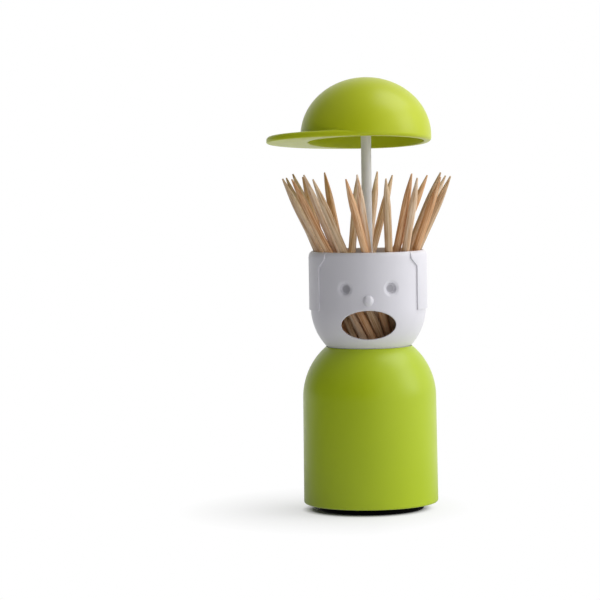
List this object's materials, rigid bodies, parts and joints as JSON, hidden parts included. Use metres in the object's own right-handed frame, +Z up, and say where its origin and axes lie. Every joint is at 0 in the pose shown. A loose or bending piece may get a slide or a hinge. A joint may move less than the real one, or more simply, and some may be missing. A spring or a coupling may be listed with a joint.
{
  "type": "toothpick holder",
  "caption": "Pull-up toothpick holder shaped as a simple figure: raising the visor cap lifts a carrier and fans the toothpicks over the open head.",
  "frame": {"origin": "on the body's axis, at the underside of the foot pad", "axes": "+Z up along the body's axis; the face looks along -Y; the visor points along -X"},
  "size_m": [0.0522, 0.0474, 0.1228],
  "materials": {
    "green_plastic": "satin moulded",
    "white_plastic": "satin moulded",
    "rod_plastic": "matte",
    "natural_plastic": "unpainted",
    "black_plastic": "matte",
    "black_rubber": "matte",
    "birch_wood": "raw"
  },
  "bodies": {
    "body": {"foot_pad": "black_rubber", "base_plate": "black_plastic", "body_shell": "green_plastic", "magazine_tube": "natural_plastic", "lock_ring": "natural_plastic", "head_cup": "white_plastic"},
    "carrier": {"carrier_cup": "natural_plastic", "friction_ring": "black_rubber"},
    "rod": {"rod": "rod_plastic", "rod_clip": "natural_plastic"},
    "cap": {"cap_shell": "green_plastic", "cap_socket": "white_plastic"},
    "toothpick_01_body": {"toothpick_01": "birch_wood"},
    "toothpick_02_body": {"toothpick_02": "birch_wood"},
    "toothpick_03_body": {"toothpick_03": "birch_wood"},
    "toothpick_04_body": {"toothpick_04": "birch_wood"},
    "toothpick_05_body": {"toothpick_05": "birch_wood"},
    "toothpick_06_body": {"toothpick_06": "birch_wood"},
    "toothpick_07_body": {"toothpick_07": "birch_wood"},
    "toothpick_08_body": {"toothpick_08": "birch_wood"},
    "toothpick_09_body": {"toothpick_09": "birch_wood"},
    "toothpick_10_body": {"toothpick_10": "birch_wood"},
    "toothpick_11_body": {"toothpick_11": "birch_wood"},
    "toothpick_12_body": {"toothpick_12": "birch_wood"},
    "toothpick_13_body": {"toothpick_13": "birch_wood"},
    "toothpick_14_body": {"toothpick_14": "birch_wood"},
    "toothpick_15_body": {"toothpick_15": "birch_wood"},
    "toothpick_16_body": {"toothpick_16": "birch_wood"},
    "toothpick_17_body": {"toothpick_17": "birch_wood"},
    "toothpick_18_body": {"toothpick_18": "birch_wood"},
    "toothpick_19_body": {"toothpick_19": "birch_wood"},
    "toothpick_20_body": {"toothpick_20": "birch_wood"},
    "toothpick_21_body": {"toothpick_21": "birch_wood"}
  },
  "joints": [
    {"name": "lift", "type": "slide", "parent": "body", "child": "carrier", "axis": [0, 0, 1], "range_m": [-0.03035, 0]},
    {"name": "cap_turn", "type": "hinge", "parent": "carrier", "child": "rod", "pos_m": [0, 0, 0.03375], "axis": [0, 0, 1], "continuous": true},
    {"name": "cap_tilt", "type": "hinge", "parent": "rod", "child": "cap", "pos_m": [0, 0, 0.11286], "axis": [1, 0, 0], "range_deg": [-0.01, 6.51]},
    {"name": "toothpick_01_fold", "type": "hinge", "parent": "carrier", "child": "toothpick_01_body", "pos_m": [0.00851, 0.00128, 0.03765], "axis": [0.8647, -0.5022, 0], "range_deg": [-26.47, 0.01]},
    {"name": "toothpick_02_fold", "type": "hinge", "parent": "carrier", "child": "toothpick_02_body", "pos_m": [0.00703, 0.00497, 0.03765], "axis": [0.9982, -0.0594, 0], "range_deg": [-26.47, 0.01]},
    {"name": "toothpick_03_fold", "type": "hinge", "parent": "carrier", "child": "toothpick_03_body", "pos_m": [0.00451, 0.00733, 0.03765], "axis": [0.9412, 0.3377, 0], "range_deg": [-26.47, 0.01]},
    {"name": "toothpick_04_fold", "type": "hinge", "parent": "carrier", "child": "toothpick_04_body", "pos_m": [0.00115, 0.00853, 0.03765], "axis": [0.7235, 0.6903, 0], "range_deg": [-26.47, 0.01]},
    {"name": "toothpick_05_fold", "type": "hinge", "parent": "carrier", "child": "toothpick_05_body", "pos_m": [-0.00255, 0.00822, 0.03765], "axis": [0.365, 0.931, 0], "range_deg": [-26.47, 0.01]},
    {"name": "toothpick_06_fold", "type": "hinge", "parent": "carrier", "child": "toothpick_06_body", "pos_m": [-0.00561, 0.00653, 0.03765], "axis": [-0.0348, 0.9994, 0], "range_deg": [-26.47, 0.01]},
    {"name": "toothpick_07_fold", "type": "hinge", "parent": "carrier", "child": "toothpick_07_body", "pos_m": [-0.00779, 0.00366, 0.03765], "axis": [-0.441, 0.8975, 0], "range_deg": [-26.47, 0.01]},
    {"name": "toothpick_08_fold", "type": "hinge", "parent": "carrier", "child": "toothpick_08_body", "pos_m": [-0.00859, -0.00058, 0.03765], "axis": [-0.8214, 0.5704, 0], "range_deg": [-26.47, 0.01]},
    {"name": "toothpick_09_fold", "type": "hinge", "parent": "carrier", "child": "toothpick_09_body", "pos_m": [-0.00756, -0.00412, 0.03765], "axis": [-0.9845, 0.1752, 0], "range_deg": [-26.47, 0.01]},
    {"name": "toothpick_10_fold", "type": "hinge", "parent": "carrier", "child": "toothpick_10_body", "pos_m": [-0.00254, -0.00822, 0.03765], "axis": [-0.8277, -0.5612, 0], "range_deg": [-26.47, 0.01]},
    {"name": "toothpick_11_fold", "type": "hinge", "parent": "carrier", "child": "toothpick_11_body", "pos_m": [0.00089, -0.00856, 0.03765], "axis": [-0.5405, -0.8413, 0], "range_deg": [-26.47, 0.01]},
    {"name": "toothpick_12_fold", "type": "hinge", "parent": "carrier", "child": "toothpick_12_body", "pos_m": [0.00412, -0.00756, 0.03765], "axis": [-0.1752, -0.9845, 0], "range_deg": [-26.47, 0.01]},
    {"name": "toothpick_13_fold", "type": "hinge", "parent": "carrier", "child": "toothpick_13_body", "pos_m": [0.00671, -0.00539, 0.03765], "axis": [0.2171, -0.9762, 0], "range_deg": [-26.47, 0.01]},
    {"name": "toothpick_14_fold", "type": "hinge", "parent": "carrier", "child": "toothpick_14_body", "pos_m": [0.00827, -0.0024, 0.03765], "axis": [0.576, -0.8175, 0], "range_deg": [-26.47, 0.01]},
    {"name": "toothpick_15_fold", "type": "hinge", "parent": "carrier", "child": "toothpick_15_body", "pos_m": [0.00456, 0.0037, 0.03765], "axis": [0.961, -0.2766, 0], "range_deg": [-24.04, 0.01]},
    {"name": "toothpick_16_fold", "type": "hinge", "parent": "carrier", "child": "toothpick_16_body", "pos_m": [0.00079, 0.00582, 0.03765], "axis": [0.8899, 0.4562, 0], "range_deg": [-24.04, 0.01]},
    {"name": "toothpick_17_fold", "type": "hinge", "parent": "carrier", "child": "toothpick_17_body", "pos_m": [-0.00341, 0.00479, 0.03765], "axis": [0.3364, 0.9417, 0], "range_deg": [-24.04, 0.01]},
    {"name": "toothpick_18_fold", "type": "hinge", "parent": "carrier", "child": "toothpick_18_body", "pos_m": [-0.00466, -0.00358, 0.03765], "axis": [-0.9532, 0.3024, 0], "range_deg": [-24.04, 0.01]},
    {"name": "toothpick_19_fold", "type": "hinge", "parent": "carrier", "child": "toothpick_19_body", "pos_m": [-0.00095, -0.00579, 0.03765], "axis": [-0.9019, -0.432, 0], "range_deg": [-24.04, 0.01]},
    {"name": "toothpick_20_fold", "type": "hinge", "parent": "carrier", "child": "toothpick_20_body", "pos_m": [0.00345, -0.00475, 0.03765], "axis": [-0.328, -0.9447, 0], "range_deg": [-24.04, 0.01]},
    {"name": "toothpick_21_fold", "type": "hinge", "parent": "carrier", "child": "toothpick_21_body", "pos_m": [0.00579, -0.00095, 0.03765], "axis": [0.432, -0.9019, 0], "range_deg": [-24.04, 0.01]}
  ],
  "couplings": [
    {"joint": "cap_tilt", "follows": "lift", "rad_per_m": -3.7381},
    {"joint": "toothpick_01_fold", "follows": "lift", "rad_per_m": 15.21},
    {"joint": "toothpick_02_fold", "follows": "lift", "rad_per_m": 15.21},
    {"joint": "toothpick_03_fold", "follows": "lift", "rad_per_m": 15.21},
    {"joint": "toothpick_04_fold", "follows": "lift", "rad_per_m": 15.21},
    {"joint": "toothpick_05_fold", "follows": "lift", "rad_per_m": 15.21},
    {"joint": "toothpick_06_fold", "follows": "lift", "rad_per_m": 15.21},
    {"joint": "toothpick_07_fold", "follows": "lift", "rad_per_m": 15.21},
    {"joint": "toothpick_08_fold", "follows": "lift", "rad_per_m": 15.21},
    {"joint": "toothpick_09_fold", "follows": "lift", "rad_per_m": 15.21},
    {"joint": "toothpick_10_fold", "follows": "lift", "rad_per_m": 15.21},
    {"joint": "toothpick_11_fold", "follows": "lift", "rad_per_m": 15.21},
    {"joint": "toothpick_12_fold", "follows": "lift", "rad_per_m": 15.21},
    {"joint": "toothpick_13_fold", "follows": "lift", "rad_per_m": 15.21},
    {"joint": "toothpick_14_fold", "follows": "lift", "rad_per_m": 15.21},
    {"joint": "toothpick_15_fold", "follows": "lift", "rad_per_m": 13.815},
    {"joint": "toothpick_16_fold", "follows": "lift", "rad_per_m": 13.815},
    {"joint": "toothpick_17_fold", "follows": "lift", "rad_per_m": 13.815},
    {"joint": "toothpick_18_fold", "follows": "lift", "rad_per_m": 13.815},
    {"joint": "toothpick_19_fold", "follows": "lift", "rad_per_m": 13.815},
    {"joint": "toothpick_20_fold", "follows": "lift", "rad_per_m": 13.815},
    {"joint": "toothpick_21_fold", "follows": "lift", "rad_per_m": 13.815}
  ]
}
